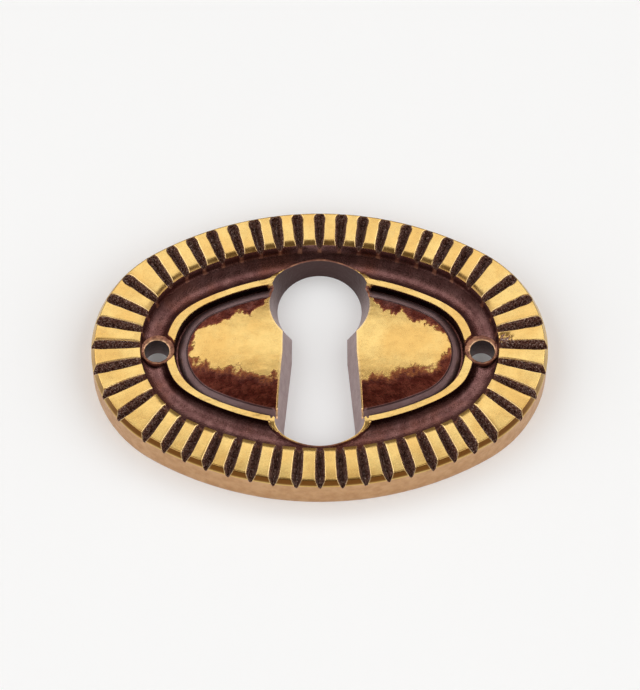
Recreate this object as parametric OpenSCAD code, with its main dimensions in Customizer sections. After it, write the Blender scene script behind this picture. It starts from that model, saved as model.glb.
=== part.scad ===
// Keyhole escutcheon: a cast oval plate with a fluted rim, a cove, a raised rib,
// a crowned centre panel, two pin holes on raised collars and a drafted keyhole.
// It lies flat on its plain back. X runs along the plate, Z is up, millimetres.
// Every outline is a four-centred oval: two long arcs joined by two end arcs.

/* [Plate] */
// Overall length of the oval plate
plate_w = 45; // [44:0.25:48]
// Overall width of the oval plate
plate_d = 30.8; // [30.2:0.2:32]
// Radius of the outline at its two ends
end_r = 12.56; // [12.3:0.02:12.8]
// Height of the plain side wall below the bevel
side_h = 3.25; // [3.1:0.05:3.4]

/* [Rim] */
// Width of the bevel outside the lands
bevel_w = 0.35; // [0.25:0.05:0.45]
// Height of the bevel outside the lands
bevel_h = 0.6; // [0.5:0.05:0.7]
// Width of the rim at the middle of the long sides
rim_w = 3.95; // [3.8:0.05:4.1]
// Width of the rim at the two ends
rim_end_w = 4.81; // [4.6:0.01:5]
// Rise of the land's crown above the bevel
crown_h = 0.2; // [0.15:0.05:0.25]

/* [Flutes] */
// Flutes on each side of the middle one, along a long side
long_flutes = 8; // [6:1:8]
// Angle between the flutes along a long side
long_step = 4.12; // [3.9:0.02:4.2]
// Flutes on each side of the middle one, round an end
end_flutes = 3; // [2:1:3]
// Angle between the flutes round an end
end_step = 13.1; // [12.7:0.1:13.5]
// Width of a flute at the land where it is deepest
flute_w = 1.02; // [0.9:0.02:1.1]
// Depth of a flute below the land where it is deepest
flute_d = 1.35; // [1.2:0.05:1.45]
// Width of the flute's floor
flute_floor = 0.12; // [0.08:0.02:0.2]
// Radius of the flute's long hollow bottom
flute_r = 9.1; // [8.5:0.1:10]
// Place of the deepest point, as a share of the rim from its inner wall
deepest_share = 0.62; // [0.55:0.01:0.68]

/* [Cove and rib] */
// Radius of the outline of the recess at its two ends
recess_r = 9.5; // [9:0.1:10]
// Radius of the round-bottomed cove inside the rim
cove_r = 1.25; // [1.2:0.01:1.3]
// Height of the cove's floor above the back
cove_h = 2.1; // [2:0.05:2.2]
// Width of the flat-topped rib
rib_w = 0.85; // [0.75:0.05:0.95]
// Height of the rib above the back
rib_h = 3.05; // [3:0.05:3.15]

/* [Centre panel] */
// Radius of the quarter round at the foot of the dome
round_r = 1.05; // [1:0.01:1.1]
// Height of the quarter round above the back
round_h = 2.42; // [2.36:0.02:2.46]
// Width of the gap between rib and quarter round at its height
quirk_w = 0.2; // [0.15:0.01:0.25]
// Height of the bottom of that gap above the back
quirk_h = 1.9; // [1.8:0.05:2]
// Height of the dome's edge above the back
dome_edge_h = 2.52; // [2.5:0.01:2.6]
// Height of the dome's crown above the back
dome_h = 3.15; // [3.1:0.05:3.3]

/* [Pin holes] */
// Distance of the pin holes' centres from the ends of the plate
pin_inset = 6.45; // [6.43:0.01:6.5]
// Diameter of the pin holes
pin_d = 2.4; // [2.2:0.1:2.6]
// Diameter of the raised collars round the pin holes
collar_d = 3.1; // [3:0.02:3.12]
// Height of the collars above the back
collar_h = 2.68; // [2.6:0.02:2.8]

/* [Keyhole] */
// Distance of the keyhole's round head from the middle of the plate, at the back
head_y = 5.9; // [5.8:0.05:6]
// Radius of the round head at the back
head_r = 4.2; // [4:0.1:4.3]
// Width of the slot at its neck, at the back
neck_w = 5.5; // [5:0.1:5.8]
// Width of the slot at its foot, at the back
foot_w = 7; // [6.6:0.1:7.2]
// Distance of the slot's foot from the middle of the plate, at the back
foot_y = 9.5; // [9.3:0.1:9.6]
// Radius of the slot's curved foot
foot_r = 5.2; // [5:0.1:6]
// Radius of the two corners of the foot
foot_corner_r = 1; // [0.9:0.05:1.2]
// Widening of the keyhole from the back to the height of the rib
draft = 0.9; // [0.8:0.05:1]
// Shift of the keyhole's front edge towards its foot
front_shift = 0.25; // [0:0.05:0.3]
// Width of the fine lip round the front of the keyhole
lip_w = 0.3; // [0.25:0.05:0.35]
// Height of the lip above the back
lip_h = 2.3; // [2.25:0.01:2.36]
// Radius of the fillets where the rib runs into the keyhole's lip
gusset_r = 3; // [2.5:0.1:3.2]

/* [Hidden] */
$fn = 96;
overrun = 0.2;
half_w = plate_w / 2;
half_d = plate_d / 2;
land_h = side_h + bevel_h;
rim_h = land_h + crown_h;
recess_a = half_w - rim_end_w;
recess_b = half_d - rim_w;
rib_in = 2 * cove_r;
rib_out = rib_in + rib_w;
dome_in = rib_out + quirk_w + round_r;
moulding_in = dome_in + overrun;
pin_x = half_w - pin_inset;
flute_top = flute_d + overrun;
front_share = (rim_h + overrun) / rib_h;
back_share = -2 * overrun / rib_h;
reach_share = 3;
bite = 0.06;

// Radius of the long arcs of an oval of half length a, half width b and end radius r
function long_r(a, b, r) = ((a - r) * (a - r) + b * b - r * r) / (2 * (b - r));
// Angle at an oval's long arc centre, from its middle to where the end arc begins
function turn(a, b, r) = atan2(a - r, long_r(a, b, r) - b);
// Distance from point f along the unit direction u to the circle of centre c and radius r
function reach(f, u, c, r) = let (v = c - f, p = v * u) p + sqrt(r * r - v * v + p * p);
// Point of an oval's first quarter, at angle t from the Y axis about the centre of its arc
function oval_point(a, b, r, t) =
    let (big = long_r(a, b, r), j = turn(a, b, r))
    t < j ? [big * sin(t), big * cos(t) - (big - b)] : [a - r + r * sin(t), r * cos(t)];

// Sweeps a section round a four-centred oval. In the section, x is the distance
// outward from the oval and y is the height.
module sweep_oval(a, b, r) {
    big = long_r(a, b, r);
    end_c = [a - r, 0];
    long_c = [0, b - big];
    joint = long_c + (end_c - long_c) * reach_share;
    for (side = [0, 180]) rotate(side) {
        intersection() {
            translate(long_c) rotate_extrude() translate([big, 0]) children();
            wedge([long_c, joint, [-joint.x, joint.y]]);
        }
        intersection() {
            translate(end_c) rotate_extrude() translate([r, 0]) children();
            wedge([end_c, [joint.x, -joint.y], joint]);
        }
    }
}

// Part of the plan that one arc of an oval takes, from the arc's centre outward
module wedge(corners) {
    translate([0, 0, -overrun]) linear_extrude(rim_h + 2 * overrun) polygon(corners);
}

// Solid filling of an oval, kept inside it by an inset
module oval_core(a, b, r, inset, h) {
    steps = 12;
    quarter = [for (i = [0 : steps]) oval_point(a - inset, b - inset, r - inset, 90 * i / steps)];
    linear_extrude(h) for (sx = [-1, 1], sy = [-1, 1])
        scale([sx, sy]) polygon(concat([[0, 0]], quarter));
}

// Section of the rim: side wall, bevel and crowned land
module rim_section() {
    chord = rim_end_w + overrun - bevel_w;
    crown_r = (chord * chord / 4 + crown_h * crown_h) / (2 * crown_h);
    intersection() {
        polygon([
            [0, 0], [0, side_h], [-2 * bevel_w, side_h + 2 * bevel_h],
            [-rim_end_w - overrun, side_h + 2 * bevel_h], [-rim_end_w - overrun, 0]
        ]);
        translate([-bevel_w - chord / 2, rim_h - crown_r]) circle(crown_r);
    }
}

// Section of the cove, the rib, the gap and the quarter round, inward from the rim's wall
module moulding_section() {
    difference() {
        translate([-moulding_in, 0]) square([moulding_in + overrun, rib_h]);
        translate([-cove_r, cove_h + cove_r]) circle(cove_r);
        translate([-rib_in, cove_h + cove_r]) square([rib_in, rib_h]);
        difference() {
            translate([-moulding_in - overrun, quirk_h]) square([moulding_in + overrun - rib_out, rib_h]);
            translate([-dome_in, round_h - round_r]) circle(round_r);
            translate([-moulding_in - overrun, 0]) square([moulding_in + overrun - dome_in, round_h]);
        }
    }
}

module rim() {
    difference() {
        sweep_oval(half_w, half_d, end_r) rim_section();
        sweep_oval(recess_a, recess_b, recess_r)
            translate([-rib_in, -overrun]) square([rib_in, rim_h + 2 * overrun]);
    }
}

// Dome: a shallow barrel turned about an axis far below the plate, cut to its oval
module dome() {
    a = recess_a - dome_in;
    b = recess_b - dome_in;
    rise = dome_h - dome_edge_h;
    barrel_r = (b * b + rise * rise) / (2 * rise);
    length_r = (a * a + rise * rise) / (2 * rise);
    intersection() {
        union() {
            sweep_oval(a, b, recess_r - dome_in) translate([-rib_in, 0]) square([rib_in, dome_h + overrun]);
            oval_core(a, b, recess_r - dome_in, cove_r, dome_h + overrun);
        }
        translate([0, 0, dome_h - barrel_r]) rotate([0, 90, 0]) rotate_extrude() intersection() {
            translate([barrel_r - length_r, 0]) circle(length_r);
            translate([0, -half_w]) square([barrel_r + overrun, plate_w]);
        }
    }
}

// Cutter for one flute: a short arc of a disc with a V-shaped edge
module flute_cutter() {
    slope = (flute_w - flute_floor) / (2 * flute_d);
    edge = flute_floor / 2;
    half_angle = acos((flute_r - flute_top) / flute_r);
    translate([0, 0, rim_h - flute_d + flute_r]) rotate([0, 90, 0]) rotate(-half_angle)
        rotate_extrude(angle = 2 * half_angle) polygon([
            [flute_r, -edge], [flute_r, edge],
            [flute_r - flute_top, edge + slope * flute_top], [flute_r - flute_top, -edge - slope * flute_top]
        ]);
}

// Places a flute on the ray from point f at an angle from the Y axis
module flute_at(f, angle, outer_c, outer_r, inner_c, inner_r) {
    u = [sin(angle), cos(angle)];
    near = reach(f, u, inner_c, inner_r);
    far = reach(f, u, outer_c, outer_r);
    translate(f + u * (near + deepest_share * (far - near))) rotate(-angle) flute_cutter();
}

module flutes() {
    long_c = [0, half_d - long_r(half_w, half_d, end_r)];
    end_c = [half_w - end_r, 0];
    recess_long_r = long_r(recess_a, recess_b, recess_r);
    for (side = [0, 180]) rotate(side) {
        for (k = [-long_flutes : long_flutes])
            flute_at(long_c, k * long_step, long_c, half_d - long_c.y,
                [0, recess_b - recess_long_r], recess_long_r);
        for (k = [-end_flutes : end_flutes])
            flute_at(end_c, 90 + k * end_step, end_c, end_r,
                [recess_a - recess_r, 0], recess_r);
    }
}

// Outline of the slot, widened on all sides by w, from the head to its curved foot
module slot_outline(w) {
    corner = foot_corner_r + w;
    half_foot = foot_w / 2 + w;
    foot_c = foot_r - foot_y;
    side = half_foot - corner;
    corner_y = foot_c - sqrt((foot_r + w - corner) * (foot_r + w - corner) - side * side);
    hull() {
        for (s = [-1, 1]) translate([s * side, corner_y]) circle(corner, $fn = 32);
        intersection() {
            translate([0, foot_c]) circle(foot_r + w);
            translate([-side, -foot_y - 2 * w]) square([2 * side, foot_y]);
        }
        translate([-neck_w / 2 - w, 0]) square([neck_w + 2 * w, head_y]);
    }
}

// Slice of one outline of the keyhole, at a share of the height from back to rib
module slice(share) {
    translate([0, -front_shift * share, rib_h * share]) linear_extrude(overrun) children();
}

// Keyhole with drafted walls: a round head that leans a little, and a flared slot
module keyhole_cutter() {
    lean = atan(front_shift / rib_h);
    translate([0, head_y, 0]) rotate([lean, 0, 0]) translate([0, 0, rib_h * back_share])
        cylinder(
            r1 = head_r + draft * back_share,
            r2 = head_r + draft * front_share,
            h = rib_h * (front_share - back_share)
        );
    hull() {
        slice(back_share) slot_outline(draft * back_share);
        slice(front_share) slot_outline(draft * front_share);
    }
}

// Fine lip round the keyhole, seen where the keyhole crosses the cove and the gap
module lip() {
    translate([0, -front_shift]) linear_extrude(lip_h) {
        translate([0, head_y]) circle(head_r + draft + lip_w);
        slot_outline(draft + lip_w);
    }
}

// Fillet between the outside of the rib and the lip beside the keyhole's head, biting a little into both
module gussets() {
    a = recess_a - rib_in;
    b = recess_b - rib_in;
    rib_long_r = long_r(a, b, recess_r - rib_in);
    rib_c = [0, b - rib_long_r];
    lip_c = [0, head_y - front_shift];
    lip_r = head_r + draft + lip_w;
    gap = lip_c.y - rib_c.y;
    to_rib = rib_long_r + gusset_r - bite;
    to_lip = lip_r + gusset_r - bite;
    up = (gap * gap + to_rib * to_rib - to_lip * to_lip) / (2 * gap);
    fillet_c = [sqrt(to_rib * to_rib - up * up), rib_c.y + up];
    rib_end = rib_c + (fillet_c - rib_c) * rib_long_r / to_rib;
    lip_end = lip_c + (fillet_c - lip_c) * lip_r / to_lip;
    for (s = [0, 1]) mirror([s, 0]) linear_extrude(rib_h) difference() {
        polygon([rib_end, lip_end, lip_c, rib_end - [0, rib_w / 2]]);
        translate(fillet_c) circle(gusset_r);
    }
}

module collars(d, z, h) {
    for (s = [-1, 1]) translate([s * pin_x, 0, z]) cylinder(d = d, h = h);
}

module escutcheon() {
    color([0.86, 0.68, 0.36]) difference() {
        union() {
            rim();
            sweep_oval(recess_a, recess_b, recess_r) moulding_section();
            dome();
            lip();
            gussets();
            collars(collar_d, 0, collar_h);
        }
        flutes();
        keyhole_cutter();
        collars(collar_d, collar_h, rim_h);
        collars(pin_d, -overrun, rim_h + 2 * overrun);
    }
}

escutcheon();
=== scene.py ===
import math
import bmesh
import bpy
import numpy as np
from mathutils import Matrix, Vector
from mathutils.geometry import delaunay_2d_cdt


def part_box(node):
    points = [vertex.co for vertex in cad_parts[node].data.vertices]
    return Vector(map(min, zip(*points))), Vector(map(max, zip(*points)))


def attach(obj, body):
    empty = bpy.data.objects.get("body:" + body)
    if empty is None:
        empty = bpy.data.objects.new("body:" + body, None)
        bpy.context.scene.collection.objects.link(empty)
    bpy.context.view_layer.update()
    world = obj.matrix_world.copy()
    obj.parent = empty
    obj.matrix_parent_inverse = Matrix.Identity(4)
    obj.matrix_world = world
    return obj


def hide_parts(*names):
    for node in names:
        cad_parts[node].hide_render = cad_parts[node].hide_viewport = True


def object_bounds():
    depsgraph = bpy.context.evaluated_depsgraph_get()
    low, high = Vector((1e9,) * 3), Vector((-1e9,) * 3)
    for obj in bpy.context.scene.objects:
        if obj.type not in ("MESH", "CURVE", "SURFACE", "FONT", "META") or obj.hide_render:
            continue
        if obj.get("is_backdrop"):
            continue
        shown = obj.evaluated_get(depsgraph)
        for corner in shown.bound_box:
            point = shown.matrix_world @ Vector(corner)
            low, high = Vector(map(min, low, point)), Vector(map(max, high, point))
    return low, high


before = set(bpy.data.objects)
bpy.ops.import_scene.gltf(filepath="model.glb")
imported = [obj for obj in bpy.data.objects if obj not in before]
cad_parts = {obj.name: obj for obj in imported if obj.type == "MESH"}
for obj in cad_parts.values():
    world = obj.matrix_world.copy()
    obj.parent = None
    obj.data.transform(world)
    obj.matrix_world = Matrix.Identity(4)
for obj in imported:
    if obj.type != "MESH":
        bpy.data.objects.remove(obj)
cad_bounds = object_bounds()

# Form of the plate, in millimetres. Its overall size comes from the frame.
MM = 0.001
LOW, HIGH = (np.array(corner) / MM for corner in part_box("escutcheon"))
HALF_W = (HIGH[0] - LOW[0]) / 2
HALF_D = (HIGH[1] - LOW[1]) / 2
END_R = 12.56
SIDE_H = 3.25
BEVEL_W = 0.35
BEVEL_H = 0.6
RIM_W = 3.95
RIM_END_W = 4.81
CROWN_H = 0.2
CROWN_FALL = 0.055
SHOULDER_W = 0.6
SHOULDER_H = 0.15
LAND_H = SIDE_H + BEVEL_H
RIM_H = LAND_H + CROWN_H

LONG_FLUTES = 8
LONG_STEP = 4.12
END_FLUTES = 3
END_STEP = 13.1
FLUTE_W = 1.02
FLUTE_D = 1.35
FLUTE_FLOOR = 0.12
FLUTE_R = 9.1
DEEPEST = 0.62
ROOT_R = 0.04
FLUTE_SLOPE = 2 * FLUTE_D / (FLUTE_W - FLUTE_FLOOR)

RECESS_R = 9.5
COVE_R = 1.25
COVE_H = 2.1
RIB_W = 0.85
RIB_H = 3.05
ROUND_R = 1.05
ROUND_H = 2.42
QUIRK_W = 0.2
QUIRK_H = 1.9
DOME_EDGE_H = 2.52
DOME_H = 3.15
RIB_IN = 2 * COVE_R
RIB_OUT = RIB_IN + RIB_W
DOME_IN = RIB_OUT + QUIRK_W + ROUND_R

PIN_X = 16.05
PIN_R = 1.23
COLLAR_R = 1.64
COLLAR_SHIFT = (-0.08, 0.15)
COLLAR_H = 2.68

HEAD_Y = 5.9
HEAD_R = 4.2
NECK_W = 5.5
FOOT_W = 7.0
FOOT_Y = 9.5
FOOT_R = 5.2
FOOT_CORNER_R = 1.0
DRAFT = 0.9
FRONT_SHIFT = 0.25
LIP_W = 0.3
LIP_H = 2.3
GUSSET_R = 3.0

# The camera, as found from the photograph
ELEVATION = math.radians(61)
DISTANCE = 0.3969
FOCAL_PX = 4000
LONG_SIDE_PX = 690
SENSOR = 36
AIM = Vector((0.04, 2.17, 0)) * MM

DENSE = 5000
rng = np.random.default_rng(7)


def smooth_step(low, high, value):
    t = np.clip((value - low) / (high - low), 0, 1)
    return t * t * (3 - 2 * t)


def soft_min(a, b, width):
    blend = np.clip(0.5 + 0.5 * (b - a) / width, 0, 1)
    return b + (a - b) * blend - width * blend * (1 - blend)


def soft_max(a, b, width):
    return -soft_min(-a, -b, width)


class Oval:
    """A four-centred oval: two long arcs joined by two end arcs."""

    def __init__(self, a, b, r):
        self.r = r
        self.end_x = a - r
        self.long_r = (self.end_x**2 + b * b - r * r) / (2 * (b - r))
        self.drop = self.long_r - b
        self.turn = math.atan2(self.end_x, self.drop)

    def distance(self, x, y):
        """Distance outward from the oval."""
        x, y = np.abs(x), np.abs(y)
        along = np.hypot(x, y + self.drop) - self.long_r
        around = np.hypot(x - self.end_x, y) - self.r
        return np.where(np.arctan2(x, y + self.drop) < self.turn, along, around)

    def normal(self, x, y):
        """Unit vectors outward from the oval."""
        sx, sy = np.where(x < 0, -1, 1), np.where(y < 0, -1, 1)
        long_side = np.arctan2(np.abs(x), np.abs(y) + self.drop) < self.turn
        vx = np.where(long_side, x, x - sx * self.end_x)
        vy = np.where(long_side, y + sy * self.drop, y)
        size = np.hypot(vx, vy)
        return vx / size, vy / size

    def outline(self, offset=0.0):
        """Closely spaced points round the oval at an offset outward from it."""
        t = np.linspace(0, math.pi / 2, DENSE)
        long_side = t < self.turn
        big, small = self.long_r + offset, self.r + offset
        x = np.where(long_side, big * np.sin(t), self.end_x + small * np.sin(t))
        y = np.where(long_side, big * np.cos(t) - self.drop, small * np.cos(t))
        x = np.concatenate([x, x[-2::-1], -x[1:], -x[-2:0:-1]])
        y = np.concatenate([y, -y[-2::-1], -y[1:], y[-2:0:-1]])
        return Path(x, y)


class Path:
    """A closed path whose points are found by the length along it."""

    def __init__(self, x, y):
        self.x, self.y = np.append(x, x[0]), np.append(y, y[0])
        steps = np.hypot(np.diff(self.x), np.diff(self.y))
        self.along = np.concatenate([[0], np.cumsum(steps)])
        self.length = self.along[-1]

    def at(self, along):
        along = np.mod(along, self.length)
        return np.interp(along, self.along, self.x), np.interp(along, self.along, self.y)

    def even(self, spacing, phase=0.0):
        count = max(8, int(round(self.length / spacing)))
        return self.at((np.arange(count) + phase) / count * self.length)

    def crossing(self, start, u):
        """Length along the path to the last place where a ray crosses it."""
        vx, vy = self.x - start[0], self.y - start[1]
        side = vx * u[1] - vy * u[0]
        ahead = vx * u[0] + vy * u[1]
        hits = np.flatnonzero(side[:-1] * side[1:] <= 0)
        i = hits[np.argmax(ahead[hits])]
        share = side[i] / (side[i] - side[i + 1])
        return self.along[i] + share * (self.along[i + 1] - self.along[i])


outer = Oval(HALF_W, HALF_D, END_R)
recess = Oval(HALF_W - RIM_END_W, HALF_D - RIM_W, RECESS_R)


def blurred(distances, heights, width):
    """Rounds the corners of a profile."""
    step = distances[1] - distances[0]
    reach = int(3 * width / step)
    kernel = np.exp(-0.5 * (np.arange(-reach, reach + 1) * step / width) ** 2)
    padded = np.pad(heights, reach, mode="edge")
    return np.convolve(padded, kernel / kernel.sum(), mode="valid")


def land_profile():
    """Height of the rim's crowned land and bevel against the distance inward."""
    inward = np.arange(-0.6, 6, 0.005)
    chord = RIM_END_W - BEVEL_W
    crown = RIM_H - CROWN_FALL * ((inward - BEVEL_W - chord / 2) / (chord / 2)) ** 2
    bevel = SIDE_H + inward * (BEVEL_H + CROWN_H - CROWN_FALL) / BEVEL_W
    return inward, blurred(inward, np.minimum(crown, bevel), 0.035)


def moulding_profile():
    """Height of cove, rib, gap and quarter round against the distance inward."""
    inward = np.arange(0, 6, 0.004)
    cove = COVE_H + COVE_R - np.sqrt(np.maximum(COVE_R**2 - (inward - COVE_R) ** 2, 0))
    height = np.where(inward < RIB_IN, np.minimum(cove, np.where(inward > COVE_R, RIB_H, 9)), RIB_H)
    quarter = ROUND_H - ROUND_R + np.sqrt(np.maximum(ROUND_R**2 - (inward - DOME_IN) ** 2, 0))
    height = np.where(inward > RIB_OUT, np.maximum(quarter, QUIRK_H), height)
    groove = np.abs(inward - DOME_IN) < 0.05
    height = np.where(inward > DOME_IN, DOME_EDGE_H, height) - 0.1 * groove
    return inward, blurred(inward, height, 0.011)


LAND = land_profile()
MOULDING = moulding_profile()

# Along the long sides the mouldings lie a little further in than round the ends.
SHIFT_AT = [0, 1.05, RIB_IN - 0.04, RIB_IN + 0.4, RIB_OUT, RIB_OUT + 0.34, 4.3, DOME_IN]
SHIFTS = [0, 0.2, 0.42, 0.3, 0.17, -0.05, -0.12, 0]


def shift_share(x, y):
    """1 along the long sides and 0 round the ends."""
    return smooth_step(0.45, 0.92, np.abs(recess.normal(x, y)[1]))


def profile_place(x, y):
    """Distance inward in the profile for a place on the plate, by halving."""
    inward, share = -recess.distance(x, y), shift_share(x, y)
    low, high = inward - 0.6, inward + 0.6
    for _ in range(18):
        middle = (low + high) / 2
        beyond = middle + share * np.interp(middle, SHIFT_AT, SHIFTS) > inward
        low, high = np.where(beyond, low, middle), np.where(beyond, middle, high)
    return (low + high) / 2


def moulding_ring(distance, spacing, phase):
    """Points round the oval where the profile is at one distance."""
    base = recess.outline()
    x, y = base.x[:-1], base.y[:-1]
    nx, ny = recess.normal(x, y)
    inward = distance + shift_share(x, y) * np.interp(distance, SHIFT_AT, SHIFTS)
    return Path(x - nx * inward, y - ny * inward).even(spacing, phase)


class Flute:
    """One V-shaped flute on the ray from a point, with its own small faults."""

    def __init__(self, start, angle, outer_arc, inner_arc):
        self.start = np.array(start)
        self.u = np.array([math.sin(angle), math.cos(angle)])
        self.inner = self.reach(*inner_arc)
        self.outer = self.reach(*outer_arc)
        self.deepest = self.inner + DEEPEST * (self.outer - self.inner)
        self.depth = FLUTE_D * rng.uniform(0.94, 1.05)
        self.floor = FLUTE_FLOOR / 2 * rng.uniform(0.4, 1.1)
        self.sway = rng.uniform(-0.035, 0.035)
        self.far = smooth_step(-0.4, 0.7, self.u[1])
        self.tip_at = self.outer - self.deepest

    def reach(self, centre, radius):
        v = np.array(centre) - self.start
        p = v @ self.u
        return p + math.sqrt(radius**2 - v @ v + p * p)

    def point(self, distance):
        return self.start + self.u * distance

    def cut(self, x, y):
        """Height of the cut, and distance from the flute's middle line."""
        vx, vy = x - self.start[0], y - self.start[1]
        along = vx * self.u[0] + vy * self.u[1] - self.deepest
        side = np.abs(vx * self.u[1] - vy * self.u[0] - self.sway)
        beyond = np.maximum(side - self.floor_at(along), 0)
        return self.bottom(along) + (np.hypot(beyond, ROOT_R) - ROOT_R) * FLUTE_SLOPE, side

    def bottom(self, along):
        """Height of the floor, which rises sooner at the outer end of the far flutes."""
        low = RIM_H - self.depth + FLUTE_R - np.sqrt(np.maximum(FLUTE_R**2 - along**2, 0))
        end = np.clip((along - self.tip_at + 0.6 + 0.3 * self.far) / 0.65, 0, 1)
        return low + (0.06 + 1.2 * self.far) * (1 - np.sqrt(1 - end**2))

    def floor_at(self, along):
        """Half the width of the floor, which swells and then closes to the outer end."""
        end = np.clip((along - self.tip_at + 0.9) / 0.93, 0, 1)
        return self.floor + (0.03 + 0.06 * self.far) * smooth_step(-0.2, 0.7, along) * np.sqrt(1 - end**2)


def make_flutes():
    flutes = []
    for sign in (1, -1):
        side = 0 if sign == 1 else math.pi
        long_c, recess_c = (0, -sign * outer.drop), (0, -sign * recess.drop)
        for k in range(-LONG_FLUTES, LONG_FLUTES + 1):
            angle = side + math.radians(k * LONG_STEP)
            flutes.append(Flute(long_c, angle, (long_c, outer.long_r), (recess_c, recess.long_r)))
        end_c, inner_c = (sign * outer.end_x, 0), (sign * recess.end_x, 0)
        for k in range(-END_FLUTES, END_FLUTES + 1):
            angle = side + math.radians(90 + k * END_STEP)
            flutes.append(Flute(end_c, angle, (end_c, outer.r), (inner_c, recess.r)))
    return flutes


FLUTES = make_flutes()


def land_height(x, y):
    return np.interp(-outer.distance(x, y), *LAND)


def grain(x, y, size, seed):
    """Smooth noise from a few crossing waves, about -1 to 1."""
    waves = np.random.default_rng(seed)
    total = np.zeros_like(x)
    for _ in range(9):
        angle, phase = waves.uniform(0, math.pi), waves.uniform(0, 2 * math.pi)
        pitch = size * waves.uniform(0.7, 1.5)
        total += np.sin((x * math.cos(angle) + y * math.sin(angle)) * 2 * math.pi / pitch + phase)
    return total / 3


# A fault of the casting on the right-hand end, beside the inner end of a flute
FLAW = (18.28, 0.5)
FLAW_R = 0.78


def rim_height(x, y, flute):
    """Height of the rim near one flute, and how much of it is polished land."""
    shoulder = np.maximum(1 - recess.distance(x, y) / SHOULDER_W, 0)
    shoulder_h = SHOULDER_H * (0.3 + 0.7 * smooth_step(0.35, 0.8, np.abs(recess.normal(x, y)[1])))
    land = land_height(x, y) - 0.012 - shoulder_h * shoulder**2
    cut, side = flute.cut(x, y)
    rough = smooth_step(0.02, 0.3, land - cut)
    cut = cut + rough * 0.028 * (grain(x, y, 0.32, 3) + grain(x, y, 0.2, 4))
    flaw = np.exp(-((np.hypot(x - FLAW[0], y - FLAW[1]) / FLAW_R) ** 4))
    land = land - flaw * (0.09 + 0.09 * grain(x, y, 0.3, 9)) + 0.006 * grain(x, y, 3.0, 11)
    worn = smooth_step(-0.13, -0.04, cut - land)
    # Painted highlight: a pale line along the rounded edge where each flute meets the land.
    edge = worn * smooth_step(0.16, 0.03, cut - land)
    pitted = smooth_step(-0.1, 0.4, grain(x, y, 0.28, 10))
    top = np.minimum(soft_min(land, cut, 0.09), RIM_H)
    return top, worn * (1 - flaw * (0.5 + 0.5 * pitted)), edge, flaw


def keyhole_outline(share):
    """Outline of the keyhole at a share of the height of the rib, from the head's top, clockwise."""
    w = DRAFT * share
    radius = HEAD_R + w
    neck = NECK_W / 2 + w
    head = math.acos(neck / radius)
    corner = FOOT_CORNER_R + w
    side = FOOT_W / 2 + w - corner
    foot_c = FOOT_R - FOOT_Y
    corner_y = foot_c - math.sqrt((FOOT_R + w - corner) ** 2 - side**2)
    reach = math.hypot(neck - side, -corner_y)
    first = math.atan2(-corner_y, neck - side) - math.acos(corner / reach)
    last = math.atan2(corner_y - foot_c, side)
    tangent = (side + corner * math.cos(first), corner_y + corner * math.sin(first))
    t = np.linspace(math.pi / 2, -head, 110)
    parts = [(radius * np.cos(t), HEAD_Y + radius * np.sin(t))]
    t = np.linspace(0, 1, 22)[1:]
    top = HEAD_Y - radius * math.sin(head)
    parts.append((neck + 0 * t, top * (1 - t)))
    t = np.linspace(0, 1, 66)[1:]
    parts.append((neck + (tangent[0] - neck) * t, tangent[1] * t))
    t = np.linspace(first, last, 14)[1:]
    parts.append((side + corner * np.cos(t), corner_y + corner * np.sin(t)))
    t = np.linspace(last, -math.pi / 2, 28)[1:]
    parts.append(((FOOT_R + w) * np.cos(t), foot_c + (FOOT_R + w) * np.sin(t)))
    x = np.concatenate([p[0] for p in parts])
    y = np.concatenate([p[1] for p in parts]) - FRONT_SHIFT * share
    return np.concatenate([x, -x[-2:0:-1]]), np.concatenate([y, y[-2:0:-1]])


def curve_distance(x, y, curve_x, curve_y):
    """Distance from each point to a closed curve, in blocks to spare memory."""
    ax, ay = curve_x, curve_y
    bx, by = np.roll(ax, -1) - ax, np.roll(ay, -1) - ay
    size = bx * bx + by * by
    out = np.empty(len(x))
    for i in range(0, len(x), 2000):
        px, py = x[i:i + 2000, None] - ax, y[i:i + 2000, None] - ay
        t = np.clip((px * bx + py * by) / size, 0, 1)
        out[i:i + 2000] = np.sqrt(((px - t * bx) ** 2 + (py - t * by) ** 2).min(axis=1))
    return out


def inside_curve(x, y, curve_x, curve_y):
    ax, ay = curve_x, curve_y
    bx, by = np.roll(ax, -1), np.roll(ay, -1)
    hits = np.zeros(len(x), int)
    for i in range(0, len(x), 4000):
        px, py = x[i:i + 4000, None], y[i:i + 4000, None]
        crosses = (ay > py) != (by > py)
        where = ax + (py - ay) * (bx - ax) / np.where(by == ay, 1, by - ay)
        hits[i:i + 4000] = (crosses & (px < where)).sum(axis=1)
    return hits % 2 == 1


def dome_height(x, y):
    a, b = HALF_W - RIM_END_W - DOME_IN, HALF_D - RIM_W - DOME_IN
    rise = DOME_H - DOME_EDGE_H
    barrel_r = (b * b + rise * rise) / (2 * rise)
    length_r = (a * a + rise * rise) / (2 * rise)
    across = barrel_r - length_r + np.sqrt(np.maximum(length_r**2 - x * x, 0))
    return DOME_H - barrel_r + np.sqrt(np.maximum(across**2 - y * y, 0))


def collar_place(x, y):
    """Distance from a pin hole's middle. The rings of the collar lean inward and back."""
    beyond = np.hypot(np.abs(x) - PIN_X, y) - PIN_R
    for _ in range(6):
        lean = np.clip(beyond / (COLLAR_R - PIN_R), 0, 1)
        beyond = np.hypot(np.abs(x) - PIN_X - lean * COLLAR_SHIFT[0], y - lean * COLLAR_SHIFT[1]) - PIN_R
    return PIN_R + beyond


def collar_ring(side, beyond, turns):
    """Points of one ring round a pin hole."""
    lean = min(beyond / (COLLAR_R - PIN_R), 1)
    x = side * (PIN_X + lean * COLLAR_SHIFT[0]) + (PIN_R + beyond) * np.sin(turns)
    return x, lean * COLLAR_SHIFT[1] + (PIN_R + beyond) * np.cos(turns)


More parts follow.
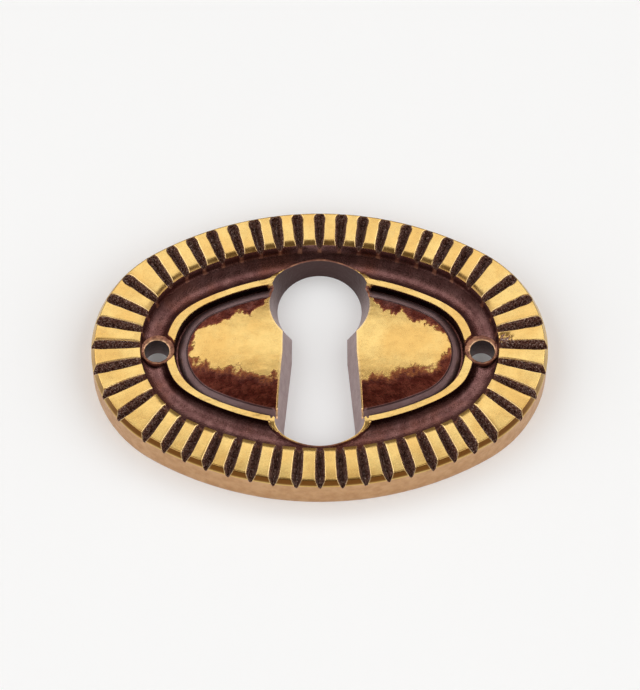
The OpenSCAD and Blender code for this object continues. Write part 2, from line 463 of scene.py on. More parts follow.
def gusset_centre():
    """Centre of the fillet between the rib's outside and the lip beside the head."""
    rib_r, rib_y = recess.long_r - RIB_IN - max(SHIFTS), -recess.drop
    lip_r, lip_y = HEAD_R + DRAFT + LIP_W, HEAD_Y - FRONT_SHIFT
    gap, to_rib, to_lip = lip_y - rib_y, rib_r + GUSSET_R, lip_r + GUSSET_R
    up = (gap**2 + to_rib**2 - to_lip**2) / (2 * gap)
    return math.sqrt(to_rib**2 - up * up), rib_y + up


GUSSET = gusset_centre()


def panel_height(x, y, keyhole):
    """Height inside the recess, given the distance to the keyhole's edge."""
    inward = profile_place(x, y)
    height = np.interp(inward, *MOULDING)
    in_dome = smooth_step(DOME_IN + 0.02, DOME_IN + 0.1, inward)
    height = height + (dome_height(x, y) - height) * in_dome

    # the lip falls from the rib's height to its own height, slowly beside the head
    away = np.where(inward < RIB_IN, RIB_IN - inward, 0)
    run = np.where(y > 0, 1.9, 1.7)
    fall = 1 - smooth_step(0, 1, away / run)
    lip_top = LIP_H + (RIB_H - LIP_H) * fall * (inward < RIB_OUT + 0.1)
    lip_w = LIP_W * 0.6 + np.where(y < 0, 0.42, 0.1) * np.exp(-((away / 0.5) ** 2))
    lip = lip_top - np.maximum(keyhole - lip_w, 0) * 7 - 0.05 * smooth_step(0.08, 0, keyhole)
    fillet = np.hypot(np.abs(x) - GUSSET[0], y - GUSSET[1]) - GUSSET_R
    lip_y, rib_y = HEAD_Y - FRONT_SHIFT, -recess.drop
    beside = np.arctan2(y - lip_y, np.abs(x)) < math.atan2(GUSSET[1] - lip_y, GUSSET[0])
    beside &= np.arctan2(np.abs(x), y - rib_y) < math.atan2(GUSSET[0], GUSSET[1] - rib_y)
    beside &= (y > lip_y) & (inward < RIB_IN + RIB_W / 2)
    gusset = np.where(beside, lip_top - np.maximum(0.03 - fillet, 0) * 8, 0)
    height = soft_max(height, np.maximum(lip, gusset), 0.06)

    pin = collar_place(x, y)
    collar = COLLAR_H + 0.02 * grain(x, y, 0.5, 21) - np.maximum(pin - COLLAR_R, 0) * 9
    collar = collar - 0.06 * smooth_step(0.1, 0, pin - PIN_R)
    open_round = smooth_step(COLLAR_R + 0.12, COLLAR_R + 0.02, pin)
    height = height + (np.minimum(height, COLLAR_H - 0.1) - height) * open_round
    height = soft_max(height, collar, 0.06)
    soft = smooth_step(0.05, 0.4, inward)
    soft = soft * (1 - 0.6 * in_dome)
    return height + soft * (0.008 * grain(x, y, 1.6, 31) + 0.004 * grain(x, y, 0.5, 32))


# The deep zone is painted shade: near-black colour where shade falls, in the gap beside the rib, the cove, the rim's
# inner wall and in front of the collars.
ZONES = ["polish", "copper", "side", "granular", "wall", "red", "deep", "edge", "bevel", "bore", "ragged", "quarter"]
COLLAR_RINGS = [0.04, 0.1, 0.2, 0.32, 0.38, 0.42, 0.46, 0.5, 0.56, 0.64]
LIP_RINGS = [0.03, 0.08, 0.15, 0.22, 0.27, 0.3, 0.33, 0.37, 0.42]


class Builder:
    """Collects the vertices, faces and zones of one mesh."""

    def __init__(self):
        self.points, self.zones, self.faces = [], [], []
        self.count = 0

    def add(self, x, y, z, **zones):
        x = np.asarray(x, float)
        flat = [np.broadcast_to(v, x.shape).ravel() for v in (x, y, z)]
        self.points.append(np.stack(flat, 1))
        row = np.zeros((x.size, len(ZONES)))
        for name, value in zones.items():
            row[:, ZONES.index(name)] = np.broadcast_to(value, x.shape).ravel()
        self.zones.append(row)
        ids = np.arange(self.count, self.count + x.size).reshape(x.shape)
        self.count += x.size
        return ids

    def strips(self, rows):
        """Quads between closed rings of the same count, one below another."""
        for upper, lower in zip(rows[:-1], rows[1:]):
            quads = np.stack([upper, np.roll(upper, -1), np.roll(lower, -1), lower], 1)
            self.faces.extend(quads.tolist())

    def fill(self, ids, x, y, loops, chains, holes, add_points):
        """Triangles over plane points, kept out of the holes. Crossings of edges become new points."""
        edges = []
        for loop in loops:
            edges.extend(zip(loop, np.roll(loop, -1)))
        for chain in chains:
            edges.extend(zip(chain[:-1], chain[1:]))
        edges = [(int(a), int(b)) for a, b in edges]
        coords = [Vector(p) for p in zip(x.tolist(), y.tolist())]
        out = delaunay_2d_cdt(coords, edges, [], 0, 1e-7, True)
        verts, faces, origin = out[0], out[2], out[3]
        vx, vy = np.array([v.x for v in verts]), np.array([v.y for v in verts])
        faces = np.array(faces)
        cx, cy = vx[faces].mean(axis=1), vy[faces].mean(axis=1)
        source = np.array([o[0] if o else -1 for o in origin])
        ring = loops[0]
        on_ring = np.isin(source[faces], ring).all(axis=1)
        keep = np.ones(len(faces), bool)
        keep[on_ring] = inside_curve(cx[on_ring], cy[on_ring], x[ring], y[ring])
        for hole in holes:
            keep &= ~inside_curve(cx, cy, *hole)
        names = np.where(source >= 0, ids[source], -1)
        faces = faces[keep]
        fresh = np.intersect1d(np.flatnonzero(names < 0), faces)
        if len(fresh):
            names[fresh] = add_points(vx[fresh], vy[fresh])
        self.faces.extend(names[faces].tolist())


def rim_rows():
    """Rows across the rim as a share A + B / width of the way outward from the recess."""
    outer_mm = np.array([0, 0.03, 0.08, 0.14, 0.2, 0.26, 0.31, 0.35, 0.39, 0.44, 0.52, 0.66])
    inner_mm = np.array([0.5, 0.32, 0.2, 0.11, 0.05, 0])
    middle = np.linspace(0, 1, 20)[1:-1]
    first, last = outer_mm[-1], inner_mm[0]
    a = np.concatenate([0 * outer_mm + 1, 1 - middle, 0 * inner_mm])
    b = np.concatenate([-outer_mm, middle * last - (1 - middle) * first, inner_mm])
    return a[:, None], b[:, None]


def half_columns(flute, centre_in, centre_out, edge_in, edge_out, a, b):
    """Shares of the half pitch for the columns on one side of a flute."""
    span = centre_out - centre_in
    share = (a + b / np.hypot(*span))[:, 0]
    centre = centre_in + share[:, None] * span
    edge = edge_in + share[:, None] * (edge_out - edge_in)
    pitch = np.hypot(*(edge - centre).T)
    along = (centre - flute.start) @ flute.u - flute.deepest
    land, floor = land_height(*centre.T), flute.floor_at(along)
    deep = np.maximum(land - flute.bottom(along), 0.1) / FLUTE_SLOPE
    half = floor + np.sqrt((deep + ROOT_R) ** 2 - ROOT_R**2)
    wall = [floor + (half - floor) * t for t in (0.22, 0.45, 0.68, 0.88, 1)]
    top = [half + t for t in (0.035, 0.09)]
    rest = [top[-1] + (pitch - top[-1]) * t for t in (0.4, 0.75)]
    columns = [0 * half, floor] + wall + top + rest
    return np.stack(columns, 1) / pitch[:, None]


def build_rim(builder):
    """The fluted rim, the side wall below it and the wall down to the cove."""
    inner_path, outer_path = recess.outline(), outer.outline()
    places = []
    for flute in FLUTES:
        places.append((outer_path.crossing(flute.start, flute.u), inner_path.crossing(flute.start, flute.u), flute))
    places.sort(key=lambda place: place[0])
    inner_at = np.unwrap([p[1] for p in places], period=inner_path.length)
    outer_at = np.array([p[0] for p in places])
    a, b = rim_rows()
    blocks = []
    total = len(places)
    for i, (_, _, flute) in enumerate(places):
        before, after = (i - 1) % total, (i + 1) % total
        at = {}
        for name, values, path in (("in", inner_at, inner_path), ("out", outer_at, outer_path)):
            back = values[before] - (path.length if i == 0 else 0)
            on = values[after] + (path.length if i == total - 1 else 0)
            at[name] = ((back + values[i]) / 2, values[i], (on + values[i]) / 2)
        ends_in = [np.array(inner_path.at(p)) for p in at["in"]]
        ends_out = [np.array(outer_path.at(p)) for p in at["out"]]
        widths = [np.hypot(*(o - n)) for o, n in zip(ends_out, ends_in)]
        left = half_columns(flute, ends_in[1], ends_out[1], ends_in[0], ends_out[0], a, b)
        right = half_columns(flute, ends_in[1], ends_out[1], ends_in[2], ends_out[2], a, b)
        f = np.concatenate([0 * left[:, :1] - 1, -left[:, :0:-1], 0 * left[:, :1], right[:, 1:]], 1)
        reach = np.abs(f)
        width = widths[1] + (np.where(f < 0, widths[0], widths[2]) - widths[1]) * reach
        share = a + b / width
        p_in = at["in"][1] + f * np.where(f < 0, at["in"][1] - at["in"][0], at["in"][2] - at["in"][1])
        p_out = at["out"][1] + f * np.where(f < 0, at["out"][1] - at["out"][0], at["out"][2] - at["out"][1])
        ix, iy = inner_path.at(p_in)
        ox, oy = outer_path.at(p_out)
        x, y = ix + share * (ox - ix), iy + share * (oy - iy)
        z, polish, edge, flaw = rim_height(x, y, flute)
        # Partly painted shade: the outer bevel's gold browns a little all round and much more on the near side, and
        # the inner shoulder is darkened on the far side.
        bevel = smooth_step(BEVEL_W + 0.06, BEVEL_W - 0.02, -outer.distance(x, y)) * polish
        bevel = bevel * (0.3 + 0.7 * smooth_step(0.1, -0.7, outer.normal(x, y)[1]))
        bevel = bevel * smooth_step(-0.02, 0.1, -outer.distance(x, y))
        shoulder = smooth_step(0.52, 0.25, recess.distance(x, y) + 0.05 * grain(x, y, 0.5, 12))
        bevel = np.maximum(bevel, 0.6 * shoulder * polish * smooth_step(0.3, 0.8, outer.normal(x, y)[1]))
        cut, side = flute.cut(x, y)
        granular = np.maximum(smooth_step(0.0, 0.12, land_height(x, y) - cut), flaw)
        away = np.hypot(x - flute.point(flute.inner)[0], y - flute.point(flute.inner)[1])
        copper = 0.7 * smooth_step(0.3, 0.1, away) * granular
        zones = np.stack([polish, copper, granular, edge, bevel], -1)
        wall_x, wall_y, wall_z = [], [], []
        nx, ny = recess.normal(x[-1], y[-1])
        top = z[-1]
        low_cut = lambda q: soft_min(np.interp(q, *MOULDING), flute.cut(x[-1] - nx * q, y[-1] - ny * q)[0], 0.03)
        low = low_cut(0.03)
        ease = np.clip((top - low) / 0.2, 0, 1)
        heights = [top - 0.05 * ease, (top + low) / 2, low, low_cut(0.08), low_cut(0.15)]
        for q, height in zip((0.006, 0.014, 0.03, 0.08, WALL_IN), heights):
            wall_x.append(x[-1] - nx * q)
            wall_y.append(y[-1] - ny * q)
            wall_z.append(height)
        blocks.append((x, y, z, zones, np.array(wall_x), np.array(wall_y), np.array(wall_z), copper[-1]))
    x, y, z, zones, wx, wy, wz, wc = (np.concatenate([blk[k] for blk in blocks], -1 if k != 3 else 1)
                                      for k in range(8))
    top = builder.add(x, y, z, polish=zones[..., 0], copper=zones[..., 1], granular=zones[..., 2],
                      edge=zones[..., 3], bevel=zones[..., 4])
    # Painted shade: the deep zone darkens the rim's inner wall, most near its foot.
    wall = builder.add(wx, wy, wz, copper=wc, deep=np.array([0, 0.2, 0.5, 0.7, 0.6])[:, None])
    drops = np.array([0.02, 0.07, 0.2, 0.38, 0.58, 0.78, 0.92, 0.975, 1])[:, None]
    nx, ny = outer.normal(x[0], y[0])
    sink = 0.012 * (1 + grain(np.arctan2(y[0], x[0]) * 18 + 0 * drops, 0 * x[0] + 3 * drops, 1.4, 41) / 3)
    sink = sink + 0.05 * smooth_step(0.93, 1, drops)
    side = builder.add(x[0] - nx * sink, y[0] - ny * sink, z[0] * (1 - drops), side=1)
    builder.strips([side[k] for k in range(len(drops) - 1, -1, -1)] + list(top) + list(wall))
    return wall[-1], (wx[-1], wy[-1]), side[-1]


WALL_IN = 0.15


def moulding_rings():
    """Distances inward of the rings of points, close together on the steep parts."""
    cove = [0.24, 0.36, 0.52, 0.72, 0.96, 1.22, 1.5, 1.76, 1.98, 2.14, 2.25, 2.33, 2.385]
    rib = [2.42, 2.44, 2.455, 2.47, 2.49, 2.52, 2.58, 2.75, 2.92, 3.1, 3.23, 3.29]
    gap = [3.315, 3.335, 3.35, 3.365, 3.385, 3.42, 3.5, 3.6, 3.66]
    quarter = [3.69, 3.72, 3.77, 3.84, 3.94, 4.06, 4.2, 4.35, 4.48, 4.53, 4.56]
    dome = [4.59, 4.62, 4.65, 4.69, 4.74, 4.82, 4.95]
    return cove + rib + gap + quarter + dome


def chains_of(keep, first, closed=True):
    """Runs of kept points of one ring, as chains of point numbers."""
    numbers = np.cumsum(keep) - 1 + first
    kept = np.flatnonzero(keep)
    if len(kept) == 0:
        return []
    if keep.all():
        return [np.append(numbers, numbers[0])] if closed else [numbers]
    breaks = np.flatnonzero(np.diff(kept) > 1)
    runs = np.split(numbers[kept], breaks + 1)
    if closed and keep[0] and keep[-1] and len(runs) > 1:
        runs[0] = np.concatenate([runs.pop(), runs[0]])
    return [run for run in runs if len(run) > 1]


def offset_ring(x, y, distance):
    """Points at a distance outside a closed clockwise curve."""
    tx, ty = np.roll(x, -1) - np.roll(x, 1), np.roll(y, -1) - np.roll(y, 1)
    size = np.hypot(tx, ty)
    return x - ty / size * distance, y + tx / size * distance


def panel_zones(x, y, keyhole, z):
    """What each place inside the recess is made to look like."""
    inward = profile_place(x, y)
    pin = collar_place(x, y)
    nx, ny = recess.normal(x, y)
    on_rib = smooth_step(RIB_IN, RIB_IN + 0.04, inward) * smooth_step(RIB_OUT - 0.005, RIB_OUT - 0.035, inward)
    on_rib = on_rib * smooth_step(COLLAR_R + 0.1, COLLAR_R + 0.15, pin)
    edge = inward - DOME_IN
    near = smooth_step(0.2, -0.5, ny)
    # The dome's rust border is its own colour. On the near side the gold starts further in and the rust reaches
    # further out, and that spread is painted shade.
    start = 0.25 + 1.2 * np.maximum(ny, 0) ** 3 + 2.5 * np.maximum(-ny, 0) ** 2
    start = start * smooth_step(-0.2, 1.4, keyhole + 0.9 * (ny < 0))
    ragged = 0.25 * grain(x, y, 2.6, 51) + 0.22 * grain(x, y, 1.0, 52) + 0.16 * grain(x, y, 0.4, 53)
    gold = smooth_step(-0.5 - 0.25 * near, 0.5 + 1.3 * near, edge - start + ragged)
    on_dome = smooth_step(0.02, 0.12, edge)
    # The brim is gold along the keyhole's edge, wider on the near side. It is partly worn metal and partly painted
    # highlight, and it feeds the edge zone.
    brim = smooth_step(0.2 + 0.08 * near, 0.03, keyhole) * np.maximum(on_dome, near * (inward > RIB_OUT))
    red = on_dome * (1 - gold) * smooth_step(-2.6, -0.3, edge - start + ragged + 2.4 * near)
    high = smooth_step(RIB_H - 0.5, RIB_H - 0.15, z) * smooth_step(0.7, 0.5, keyhole) * (inward < RIB_OUT)
    fillet = smooth_step(3.2, 2.4, keyhole) * smooth_step(RIB_H - 0.3, RIB_H - 0.1, z) * (inward < RIB_IN) * (inward > 0.6) * (y > 0)
    lip = smooth_step(0.2, 0.08, keyhole) * (1 - on_dome) * (1 - on_rib) * (1 - high)
    foot = lip * near * smooth_step(1.9, 1.0, RIB_IN - inward) * (inward < RIB_IN)
    # Painted highlight: a bright ring round the top of each pin hole.
    pin_rim_painted_highlight = smooth_step(0.13, 0.03, pin - PIN_R)
    collar = smooth_step(COLLAR_R + 0.06, COLLAR_R, pin)
    # Painted shade: the narrow gap between the rib and the quarter round is painted black.
    gap = smooth_step(RIB_OUT - 0.04, RIB_OUT, inward) * smooth_step(RIB_OUT + 0.27, RIB_OUT + 0.16, inward)
    # Painted shadow: the cove is darkened under the far rim, and in a band just outside the near rib.
    shade = (0.1 + 0.85 * smooth_step(0, 0.7, ny)) * smooth_step(1.35, 0.45, inward)
    outside = (inward < RIB_IN + 0.05) * (1 - on_rib)
    shade = np.maximum(shade, (0.25 + 0.7 * near) * smooth_step(1.6, 2.05, inward) * outside)
    # Painted shadow: a dark crescent in front of each collar, on the side towards the plate's front edge.
    collar_painted_shadow = smooth_step(COLLAR_R + 0.28, COLLAR_R + 0.06, pin) * smooth_step(0.3, -0.6, y)
    return dict(
        polish=np.maximum.reduce([on_rib, on_dome * gold, high, fillet, brim, foot]),
        copper=np.maximum(lip * (1 - foot), collar),
        red=red,
        # Painted highlight along the keyhole's brim and round the tops of the pin holes.
        edge=np.maximum(0.7 * brim, 0.6 * pin_rim_painted_highlight),
        ragged=on_dome,
        quarter=smooth_step(DOME_IN - 0.92, DOME_IN - 0.75, inward) * (1 - on_dome) * (1 - lip),
        # Painted shade also darkens the dome's rust border on the near side.
        deep=np.maximum.reduce([gap, shade, collar_painted_shadow, 0.25 * red * near])
        * (1 - lip) * (1 - collar) * (1 - high) * (1 - brim),
    )


def build_panel(builder, wall_ids, wall_xy):
    """Cove, rib, quarter round, dome, collars and the edges of the three holes."""
    back_x, back_y = keyhole_outline(0)
    front_x, front_y = keyhole_outline(1)
    share = np.full(back_x.shape, 0.85)
    for _ in range(12):
        x, y = back_x + share * (front_x - back_x), back_y + share * (front_y - back_y)
        share = (share + panel_height(x, y, 0 * x) / RIB_H) / 2
    edge_x, edge_y, edge_z = x, y, share * RIB_H

    turns = np.arange(88) / 88 * 2 * math.pi
    circles = [(side * PIN_X + PIN_R * np.sin(turns), PIN_R * np.cos(turns)) for side in (-1, 1)]
    xs, ys, loops, chains = [wall_xy[0]], [wall_xy[1]], [np.arange(len(wall_xy[0]))], []
    count = len(wall_xy[0])
    for x, y in [(edge_x, edge_y)] + circles:
        xs.append(x)
        ys.append(y)
        loops.append(np.arange(count, count + len(x)))
        count += len(x)
    bounds = count

    def add_ring(x, y, keep, closed=True):
        nonlocal count
        chains.extend(chains_of(keep, count, closed))
        xs.append(x[keep])
        ys.append(y[keep])
        count += int(keep.sum())

    for distance in LIP_RINGS:
        x, y = offset_ring(edge_x, edge_y, distance)
        keep = curve_distance(x, y, edge_x, edge_y) > distance - 0.004
        add_ring(x, y, keep)
    for side in (-1, 1):
        for distance in COLLAR_RINGS:
            x, y = collar_ring(side, distance, turns)
            add_ring(x, y, recess.distance(x, y) < -WALL_IN - 0.03)

    def clear(x, y, fillets=True):
        keep = collar_place(x, y) > PIN_R + COLLAR_RINGS[-1] + 0.06
        if fillets:
            close = np.abs(np.hypot(np.abs(x) - GUSSET[0], y - GUSSET[1]) - GUSSET_R) < 0.14
            keep &= ~(close & (np.abs(x) > 3.9) & (np.abs(x) < 5.7) & (y > 7.5) & (y < 9.45))
        near = keep & (np.abs(x) < 8)
        keep[near] = curve_distance(x[near], y[near], edge_x, edge_y) > LIP_RINGS[-1] + 0.05
        return keep

    for side in (-1, 1):
        for offset in (-0.09, -0.05, -0.015, 0.02, 0.055, 0.1):
            turn = np.linspace(math.radians(198), math.radians(262), 34)
            x = side * (GUSSET[0] + (GUSSET_R + offset) * np.cos(turn))
            y = GUSSET[1] + (GUSSET_R + offset) * np.sin(turn)
            add_ring(x, y, clear(x, y, False), closed=False)
    for k, distance in enumerate(moulding_rings()):
        x, y = moulding_ring(distance, 0.19, 0.5 * (k % 2))
        add_ring(x, y, clear(x, y))
    step = 0.16
    gx, gy = np.meshgrid(np.arange(-14, 14, step), np.arange(-8, 8, step))
    gx, gy = gx + step / 2 * (np.arange(len(gx)) % 2)[:, None], gy
    gx, gy = gx.ravel() + rng.uniform(-0.03, 0.03, gx.size), gy.ravel() + rng.uniform(-0.03, 0.03, gx.size)
    inside = -recess.distance(gx, gy) > moulding_rings()[-1] + 0.1
    gx, gy = gx[inside], gy[inside]
    keep = clear(gx, gy)
    xs.append(gx[keep])
    ys.append(gy[keep])

    def add_points(x, y):
        keyhole = np.full(x.shape, 9.0)
        near = np.abs(x) < 9
        keyhole[near] = curve_distance(x[near], y[near], edge_x, edge_y)
        z = panel_height(x, y, keyhole)
        return builder.add(x, y, z, **panel_zones(x, y, keyhole, z))

    x, y = np.concatenate(xs), np.concatenate(ys)
    ids = np.concatenate([wall_ids, add_points(x[len(wall_ids):], y[len(wall_ids):])])
    builder.fill(ids, x, y, loops, chains, [(edge_x, edge_y)] + circles, add_points)

    lower = [0.03, 0.1, 0.25, 0.42, 0.6, 0.78, 0.92, 1]
    rows = [ids[loops[1]]]
    for drop in lower:
        part = edge_z * (1 - drop) / RIB_H
        wx, wy = back_x + part * (front_x - back_x), back_y + part * (front_y - back_y)
        # Painted shade: the keyhole's wall is darkened round the far part of the head.
        rows.append(builder.add(wx, wy, edge_z * (1 - drop), wall=1, bore=smooth_step(HEAD_Y - 2, HEAD_Y + 3, wy)))
    builder.strips(rows)
    hole_rows = [(rows[-1], (back_x, back_y))]
    for loop, (cx, cy) in zip(loops[2:], circles):
        rows, top = [ids[loop]], panel_height(cx, cy, 9 + 0 * cx)
        for drop in (0.02, 0.08, 0.3, 0.6, 0.85, 1):
            # Painted shade: each pin hole's wall is dark at the top and lighter towards the bottom.
            rows.append(builder.add(cx, cy, top * (1 - drop), wall=1, bore=1 - 0.75 * smooth_step(0.3, 1, drop)))
        builder.strips(rows)
        hole_rows.append((rows[-1], (cx, cy)))
    return hole_rows


BACK_STEP = 0.6


def build_casting():
    builder = Builder()
    wall_ids, wall_xy, foot_ids = build_rim(builder)
    holes = build_panel(builder, wall_ids, wall_xy)
    points = np.concatenate(builder.points)
    ids = np.concatenate([foot_ids] + [h[0] for h in holes])
    loops, start = [], 0
    for ring in [foot_ids] + [h[0] for h in holes]:
        loops.append(np.arange(start, start + len(ring)))
        start += len(ring)
    gx, gy = np.meshgrid(np.arange(-HALF_W, HALF_W, BACK_STEP), np.arange(-HALF_D, HALF_D, BACK_STEP))
    gx, gy = gx.ravel() + BACK_STEP / 3, gy.ravel() + BACK_STEP / 3
    clear = outer.distance(gx, gy) < -BACK_STEP / 2
    for _, (hx, hy) in holes:
        clear &= (curve_distance(gx, gy, hx, hy) > BACK_STEP / 2) & ~inside_curve(gx, gy, hx, hy)
    ids = np.concatenate([ids, builder.add(gx[clear], gy[clear], 0 * gx[clear], side=1)])
    points = np.concatenate(builder.points)
    builder.fill(ids, points[ids, 0], points[ids, 1], loops, [], [h[1] for h in holes],
                 lambda x, y: builder.add(x, y, 0 * x, side=1))
    points = np.concatenate(builder.points)
    mesh = bpy.data.meshes.new("escutcheon_casting")
    mesh.from_pydata((points * MM).tolist(), [], builder.faces)
    zones = np.concatenate(builder.zones)
    for k, name in enumerate(ZONES):
        data = mesh.attributes.new(name, "FLOAT", "POINT").data
        data.foreach_set("value", zones[:, k].astype(np.float32))
    mesh.validate()
    shape = bmesh.new()
    shape.from_mesh(mesh)
    unused = [v for v in shape.verts if not v.link_faces]
    bmesh.ops.delete(shape, geom=unused, context="VERTS")
    bmesh.ops.recalc_face_normals(shape, faces=shape.faces)
    shape.to_mesh(mesh)
    open_edges = sum(not e.is_manifold for e in shape.edges)
    shape.free()
    print("casting:", len(mesh.vertices), "points,", len(mesh.polygons), "faces,", open_edges, "open edges")
    mesh.shade_smooth()
    mesh.set_sharp_from_angle(angle=math.radians(55))
    casting = bpy.data.objects.new("escutcheon_casting", mesh)
    bpy.context.collection.objects.link(casting)
    return casting


class Shader:
    """Short calls for building one material's nodes."""

    def __init__(self, name):
        self.material = bpy.data.materials.new(name)
        self.material.use_nodes = True
        self.tree = self.material.node_tree
        self.surface = self.tree.nodes["Principled BSDF"]
        self.place = self.tree.nodes.new("ShaderNodeTexCoord").outputs["Object"]

    def put(self, socket, value):
        if isinstance(value, bpy.types.NodeSocket):
            self.tree.links.new(value, socket)
        elif isinstance(value, tuple):
            socket.default_value = (*value, 1)
        else:
            socket.default_value = value

    def zone(self, name):
        found = self.tree.nodes.new("ShaderNodeAttribute")
        found.attribute_name = name
        return found.outputs["Fac"]

    def noise(self, size_mm, detail=3.0, roughness=0.55):
        made = self.tree.nodes.new("ShaderNodeTexNoise")
        self.tree.links.new(self.place, made.inputs["Vector"])
        made.inputs["Scale"].default_value = 1 / (size_mm * MM)
        made.inputs["Detail"].default_value = detail
        made.inputs["Roughness"].default_value = roughness
        return made.outputs["Fac"]

    def maths(self, operation, a, b=0.0):
        made = self.tree.nodes.new("ShaderNodeMath")
        made.operation = operation
        self.put(made.inputs[0], a)
        self.put(made.inputs[1], b)
        return made.outputs[0]

    def ramp(self, value, low, high, to_low=0.0, to_high=1.0):
        made = self.tree.nodes.new("ShaderNodeMapRange")
        made.interpolation_type = "SMOOTHSTEP"
        for name, setting in (("Value", value), ("From Min", low), ("From Max", high),
                              ("To Min", to_low), ("To Max", to_high)):
            self.put(made.inputs[name], setting)
        return made.outputs["Result"]

    def mix(self, share, a, b):
        made = self.tree.nodes.new("ShaderNodeMix")
        is_colour = any(isinstance(v, tuple) or getattr(v, "type", "") == "RGBA" for v in (a, b))
        made.data_type = "RGBA" if is_colour else "FLOAT"
        pick = 6 if is_colour else 2
        self.put(made.inputs[0], share)
        self.put(made.inputs[pick], a)
        self.put(made.inputs[pick + 1], b)
        return made.outputs[2 if is_colour else 0]


def cast_brass():
    """Polished high places over a dark patina, with copper edges and satin walls, and painted shade, shadows,
    highlights, sheen and glints.
    """
    s = Shader("cast_brass")
    broad, medium, fine = s.noise(4.0), s.noise(0.9, 4.0), s.noise(0.22, 4.0, 0.65)
    specks = s.noise(0.13, 2.0, 0.7)
    polish, red, deep = s.zone("polish"), s.zone("red"), s.zone("deep")
    granular = s.zone("granular")
    waver = s.maths("SUBTRACT", s.maths("ADD", medium, fine), 1.0)
    shaky = s.maths("ADD", polish, s.maths("MULTIPLY", waver, s.ramp(s.zone("ragged"), 0, 1, 0.08, 0.55)))
    gold_mask = s.ramp(shaky, 0.42, s.mix(s.zone("ragged"), 0.56, 0.72))

    gold = s.mix(s.ramp(broad, 0.35, 0.65), (0.84, 0.605, 0.225), (0.78, 0.505, 0.165))
    gold = s.mix(s.ramp(fine, 0.45, 0.7, 0.0, 0.24), gold, (0.62, 0.31, 0.08))
    gold = s.mix(s.ramp(specks, 0.7, 0.78), gold, (0.3, 0.12, 0.04))
    # The bevel zone browns the gold. Part of this is tone, most of it is painted shade.
    gold = s.mix(s.zone("bevel"), gold, (0.17, 0.066, 0.014))
    # Painted highlight: the edge zone turns the gold pale along rounded edges.
    gold = s.mix(s.zone("edge"), gold, (0.96, 0.71, 0.36))
    patina = s.mix(s.ramp(medium, 0.35, 0.65), (0.175, 0.074, 0.07), (0.27, 0.13, 0.122))
    patina = s.mix(s.ramp(broad, 0.45, 0.7, 0.0, 0.8), patina, (0.24, 0.085, 0.06))
    patina = s.mix(s.ramp(shaky, 0.12, 0.45, 0.0, 0.75), patina, (0.36, 0.13, 0.045))
    rust = s.mix(s.ramp(medium, 0.42, 0.58), (0.09, 0.013, 0.007), (0.17, 0.036, 0.02))
    rust = s.mix(s.ramp(shaky, 0.1, 0.46, 0.0, 0.8), rust, (0.34, 0.1, 0.028))
    patina = s.mix(s.maths("MULTIPLY", red, 0.9), patina, rust)
    # Partly painted sheen: the quarter round's patina is lighter purple-grey, and this stands in for the sheen along
    # its top.
    patina = s.mix(s.zone("quarter"), patina, s.mix(s.ramp(broad, 0.4, 0.6), (0.22, 0.145, 0.15), (0.17, 0.1, 0.1)))
    grit_and_painted_glints = s.mix(s.ramp(fine, 0.4, 0.62), (0.055, 0.018, 0.012), (0.19, 0.082, 0.058))
    # Painted glints: bright specks scattered in the dark grit of the flutes.
    grit_and_painted_glints = s.mix(s.ramp(specks, 0.56, 0.66), grit_and_painted_glints, (0.78, 0.6, 0.52))
    patina = s.mix(granular, patina, grit_and_painted_glints)
    # Painted shade: where the deep zone is set, the patina turns near-black.
    patina = s.mix(s.maths("MULTIPLY", deep, 0.92), patina, (0.012, 0.004, 0.003))
    side = s.mix(s.ramp(medium, 0.3, 0.7), (0.64, 0.385, 0.19), (0.54, 0.3, 0.135))
    wall = s.mix(s.ramp(medium, 0.3, 0.7), (0.4, 0.29, 0.285), (0.32, 0.215, 0.21))
    # Painted shade darkens the walls of the holes.
    wall = s.mix(s.zone("bore"), wall, (0.075, 0.042, 0.04))
    copper = s.mix(s.ramp(medium, 0.4, 0.6), (0.42, 0.2, 0.12), (0.24, 0.1, 0.07))
    # Painted highlight: the edge zone turns the copper pale at the pin holes' rims.
    copper = s.mix(s.zone("edge"), copper, (0.95, 0.62, 0.36))

    layers = [
        (gold_mask, gold, 1.0, s.ramp(medium, 0.3, 0.7, 0.2, 0.28)),
        (s.zone("copper"), copper, 0.85, 0.34),
        (s.zone("side"), side, 0.95, s.ramp(medium, 0.3, 0.7, 0.34, 0.42)),
        (s.zone("wall"), wall, 0.8, 0.34),
    ]
    # The patina is fully metallic under the deep zone's painted shade and under the dome's rust border, which keeps
    # the painted shade black.
    colour, metallic = patina, s.mix(granular, s.mix(s.maths("MAXIMUM", red, deep), 0.75, 1.0), 0.25)
    roughness = s.mix(s.zone("quarter"), s.ramp(fine, 0.35, 0.65, 0.24, 0.34), 0.46)
    for mask, layer, metal, rough in layers:
        colour = s.mix(mask, colour, layer)
        metallic = s.mix(mask, metallic, metal)
        roughness = s.mix(mask, roughness, rough)
    s.put(s.surface.inputs["Base Color"], colour)
    s.put(s.surface.inputs["Metallic"], metallic)
    s.put(s.surface.inputs["Roughness"], roughness)

    dull = s.maths("SUBTRACT", 1.0, s.maths("MULTIPLY", gold_mask, 0.93))
    height = s.maths("MULTIPLY", s.maths("ADD", fine, s.maths("MULTIPLY", medium, 1.5)), dull)
    bump = s.tree.nodes.new("ShaderNodeBump")
    bump.inputs["Strength"].default_value = 0.6
    bump.inputs["Distance"].default_value = 0.06 * MM
    s.put(bump.inputs["Height"], height)
    s.put(s.surface.inputs["Normal"], bump.outputs["Normal"])
    return s.material


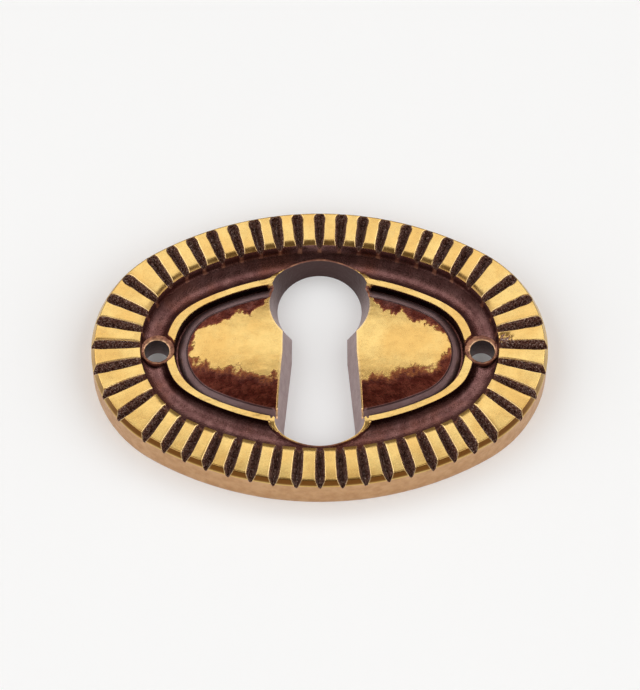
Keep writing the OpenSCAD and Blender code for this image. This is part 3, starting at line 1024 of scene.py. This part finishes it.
def pale_floor():
    """Plain pale floor that keeps the shadow, lifted to white where it is seen."""
    s = Shader("pale_floor")
    tint = s.mix(s.noise(60.0), (0.83, 0.86, 0.89), (0.85, 0.88, 0.91))
    s.put(s.surface.inputs["Base Color"], tint)
    s.put(s.surface.inputs["Roughness"], 0.9)
    s.put(s.surface.inputs["Specular IOR Level"], 0.0)
    path = s.tree.nodes.new("ShaderNodeLightPath").outputs
    seen = s.maths("ADD", path["Is Camera Ray"], path["Is Glossy Ray"])
    seen = s.maths("MINIMUM", s.maths("ADD", seen, path["Is Transmission Ray"]), 1.0)
    s.put(s.surface.inputs["Emission Color"], (1, 1, 1))
    s.put(s.surface.inputs["Emission Strength"], s.maths("MULTIPLY", seen, FLOOR_LIFT))
    return s.material


FLOOR_LIFT = 0.12
FLOOR_SIZE = 3.0
FLOOR_GAP = 0.02 * MM


def add_floor():
    mesh = bpy.data.meshes.new("floor")
    half = FLOOR_SIZE / 2
    corners = [(x * half, y * half, -FLOOR_GAP) for x, y in ((-1, -1), (1, -1), (1, 1), (-1, 1))]
    mesh.from_pydata(corners, [], [(0, 1, 2, 3)])
    mesh.materials.append(pale_floor())
    floor = bpy.data.objects.new("floor", mesh)
    bpy.context.collection.objects.link(floor)
    floor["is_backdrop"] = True


def softbox(name, azimuth, elevation, width, height, radiance, distance=1.0):
    """A rectangular lamp that faces the plate. Azimuth 0 is behind it, 90 to its right."""
    a, e = math.radians(azimuth), math.radians(elevation)
    place = Vector((math.sin(a) * math.cos(e), math.cos(a) * math.cos(e), math.sin(e))) * distance
    lamp = bpy.data.lights.new(name, "AREA")
    lamp.shape = "RECTANGLE"
    lamp.size, lamp.size_y = width, height
    lamp.energy = radiance * math.pi * width * height
    made = bpy.data.objects.new(name, lamp)
    made.location = place
    made.rotation_euler = (-place).to_track_quat("-Z", "Y").to_euler()
    bpy.context.collection.objects.link(made)


def add_lights():
    softbox("back_box", 0, 57, 2.4, 0.4, 1.12)
    softbox("left_box", -105, 38, 1.5, 1.1, 1.38)
    softbox("right_box", 105, 38, 1.5, 1.1, 1.38)
    softbox("front_box", 180, 42, 1.6, 0.5, 0.35)
    world = bpy.data.worlds.new("studio")
    world.use_nodes = True
    background = world.node_tree.nodes["Background"]
    background.inputs["Color"].default_value = (1, 0.8, 0.6, 1)
    background.inputs["Strength"].default_value = 0.2
    bpy.context.scene.world = world


def add_camera():
    camera = bpy.data.cameras.new("camera")
    camera.sensor_width = SENSOR
    camera.lens = FOCAL_PX * SENSOR / LONG_SIDE_PX
    camera.clip_start, camera.clip_end = 0.01, 10
    place = Vector((0, -math.cos(ELEVATION), math.sin(ELEVATION))) * DISTANCE
    made = bpy.data.objects.new("camera", camera)
    made.location = place
    made.rotation_euler = (AIM - place).to_track_quat("-Z", "Y").to_euler()
    bpy.context.collection.objects.link(made)
    bpy.context.scene.camera = made


add_camera()
add_lights()
add_floor()
casting = build_casting()
casting.data.materials.append(cast_brass())
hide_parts("escutcheon")
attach(casting, "root")

bpy.context.scene.view_settings.view_transform = "Standard"
sizes = {"cad": cad_bounds, "visual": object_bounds()}
{name: [list(corner) for corner in box] for name, box in sizes.items()}
